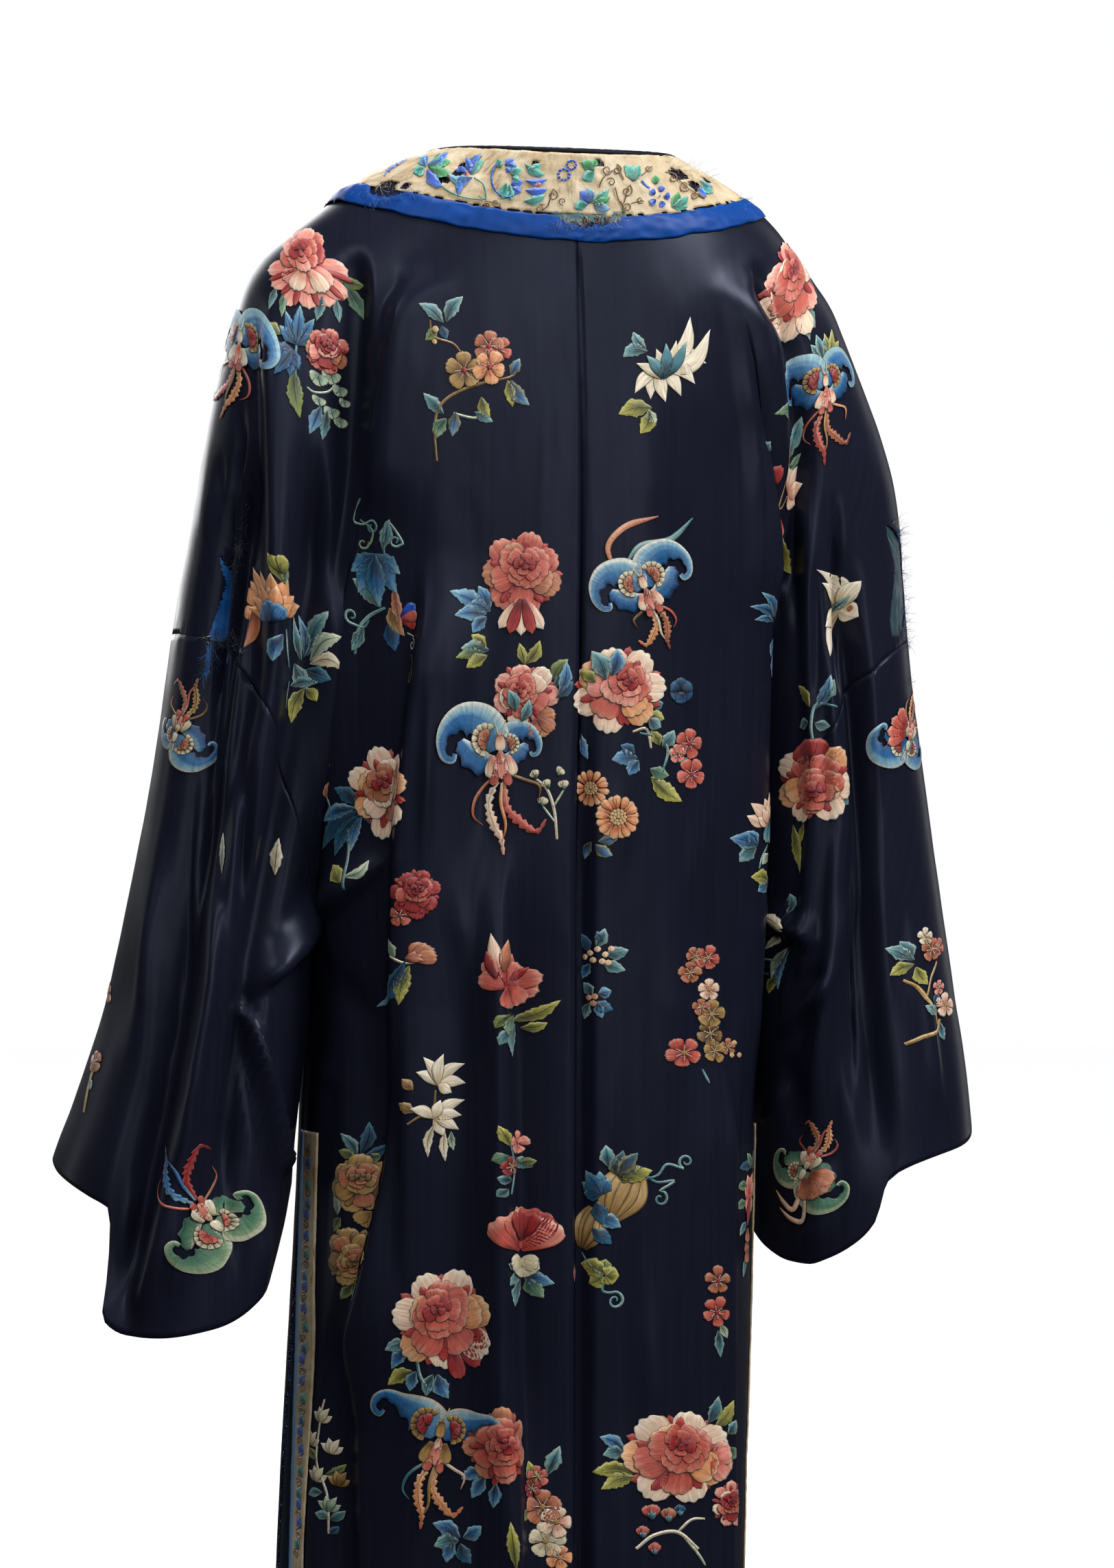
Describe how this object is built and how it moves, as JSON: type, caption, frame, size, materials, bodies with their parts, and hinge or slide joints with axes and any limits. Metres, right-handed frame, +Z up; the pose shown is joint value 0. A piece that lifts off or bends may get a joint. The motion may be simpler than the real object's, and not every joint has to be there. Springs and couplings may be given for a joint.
{
  "type": "embroidered silk robe",
  "caption": "Hollow, worn silk satin robe with wide sleeves, a banded round neck, an open front and side slits.",
  "frame": {"origin": "middle of the neck opening, level with the neckline at the centre back, where the wearer's shoulders hold the robe", "axes": "+Z up; the wearer faces -Y, so the back is towards +Y; +X is the wearer's left"},
  "size_m": [0.6569, 0.2376, 1.0814],
  "materials": {
    "satin": "glossy silk satin, midnight blue",
    "cream_satin": "worn embroidered satin",
    "blue_satin": "satin",
    "black_satin": "satin",
    "lining": "plain silk"
  },
  "bodies": {
    "root": {"back_left": "satin", "back_right": "satin", "front_left": "satin", "front_right": "satin", "sleeve_back_left": "satin", "sleeve_back_right": "satin", "sleeve_front_left": "satin", "sleeve_front_right": "satin", "neck_binding": "black_satin", "neck_band": "cream_satin", "neck_edging": "blue_satin", "slit_binding_left": "blue_satin", "slit_binding_right": "blue_satin", "slit_band_left": "cream_satin", "slit_band_right": "cream_satin", "slit_piping_left": "cream_satin", "slit_piping_right": "cream_satin", "cuff_facing_right": "cream_satin", "rip_lining_left_upper": "lining", "rip_lining_left_lower": "lining", "rip_lining_right": "lining"}
  },
  "joints": []
}
